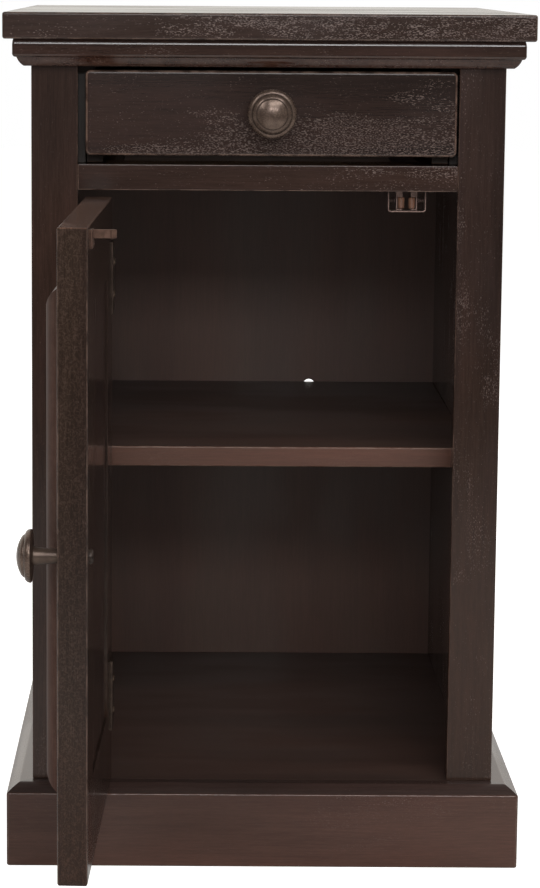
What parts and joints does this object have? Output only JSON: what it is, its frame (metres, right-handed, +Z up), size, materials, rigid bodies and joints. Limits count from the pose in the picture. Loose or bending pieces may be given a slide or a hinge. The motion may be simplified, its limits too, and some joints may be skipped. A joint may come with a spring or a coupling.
{
  "type": "storage side table with door",
  "caption": "Narrow dark wood side table with an inset drawer over a hinged cupboard door, an inner shelf and a plinth base.",
  "frame": {"origin": "on the floor, straight under the middle of the table top", "axes": "+Z up, -Y out of the front (drawer and door side), +X to the right seen from the front"},
  "size_m": [0.381, 0.7095, 0.628],
  "materials": {
    "espresso_wood": "satin espresso lacquer over fine open grain",
    "secondary_wood": "thin dark stain, nearly matte",
    "back_board": "dark stained thin board, matte",
    "antique_bronze": "antique bronze, satin",
    "bronzed_steel": "dark bronze plated, satin",
    "screw_steel": "bronze plated, worn",
    "zinc_steel": "plated pressed sheet, satin",
    "strike_brass": "bright copper coloured plating",
    "tan_nylon": "moulded nylon"
  },
  "bodies": {
    "carcass": {"back_panel": "back_board", "base_board_back": "espresso_wood", "base_board_front": "espresso_wood", "base_board_left": "espresso_wood", "base_board_right": "espresso_wood", "base_corner_blocks": "secondary_wood", "catch_bracket": "zinc_steel", "catch_screws": "screw_steel", "catch_spring_left": "zinc_steel", "catch_spring_right": "zinc_steel", "drawer_kicker_left": "secondary_wood", "drawer_kicker_right": "secondary_wood", "drawer_runner_left": "secondary_wood", "drawer_runner_right": "secondary_wood", "floor_panel": "espresso_wood", "front_stile_left": "espresso_wood", "front_stile_right": "espresso_wood", "hinge_frame_leaf_lower": "bronzed_steel", "hinge_frame_leaf_upper": "bronzed_steel", "hinge_frame_screws": "screw_steel", "hinge_pins": "bronzed_steel", "mid_rail": "espresso_wood", "rear_rail": "secondary_wood", "shelf": "espresso_wood", "shelf_supports": "zinc_steel", "side_panel_left": "espresso_wood", "side_panel_right": "espresso_wood", "table_top": "espresso_wood", "top_moulding_front": "espresso_wood", "top_moulding_left": "espresso_wood", "top_moulding_right": "espresso_wood", "top_rail": "espresso_wood"},
    "drawer": {"drawer_front": "espresso_wood", "drawer_side_left": "secondary_wood", "drawer_side_right": "secondary_wood", "drawer_back": "secondary_wood", "drawer_bottom": "secondary_wood", "drawer_knob": "antique_bronze", "drawer_knob_screw": "screw_steel"},
    "door": {"door_bead_bottom": "espresso_wood", "door_bead_free": "espresso_wood", "door_bead_hinge": "espresso_wood", "door_bead_top": "espresso_wood", "door_knob": "antique_bronze", "door_knob_screw": "screw_steel", "door_panel": "espresso_wood", "door_rail_bottom": "espresso_wood", "door_rail_top": "espresso_wood", "door_stile_free": "espresso_wood", "door_stile_hinge": "espresso_wood", "hinge_door_leaf_lower": "bronzed_steel", "hinge_door_leaf_upper": "bronzed_steel", "hinge_door_screws": "screw_steel", "strike_plate": "strike_brass", "strike_screws": "screw_steel"},
    "catch_slide_left": {"catch_yoke_left": "zinc_steel"},
    "catch_slide_right": {"catch_yoke_right": "zinc_steel"},
    "roller_left": {"catch_roller_left": "tan_nylon"},
    "roller_right": {"catch_roller_right": "tan_nylon"}
  },
  "joints": [
    {"name": "door_hinge", "type": "hinge", "parent": "carcass", "child": "door", "pos_m": [-0.1355, -0.2109, 0.2798], "axis": [0, 0, 1], "range_deg": [-78.2, 91.8]},
    {"name": "drawer_slide", "type": "slide", "parent": "carcass", "child": "drawer", "axis": [0, -1, 0], "range_m": [0, 0.28]},
    {"name": "catch_slide_left", "type": "slide", "parent": "carcass", "child": "catch_slide_left", "axis": [-1, 0, 0], "range_m": [0, 0.0018], "stiffness_N_per_m": 300, "springref_m": -0.002, "deforming": ["catch_spring_left"]},
    {"name": "catch_slide_right", "type": "slide", "parent": "carcass", "child": "catch_slide_right", "axis": [1, 0, 0], "range_m": [0, 0.0018], "stiffness_N_per_m": 300, "springref_m": -0.002, "deforming": ["catch_spring_right"]},
    {"name": "roller_spin_left", "type": "hinge", "parent": "catch_slide_left", "child": "roller_left", "pos_m": [0.09855, -0.1785, 0.49], "axis": [0, 0, 1], "continuous": true},
    {"name": "roller_spin_right", "type": "hinge", "parent": "catch_slide_right", "child": "roller_right", "pos_m": [0.10645, -0.1785, 0.49], "axis": [0, 0, 1], "continuous": true}
  ]
}
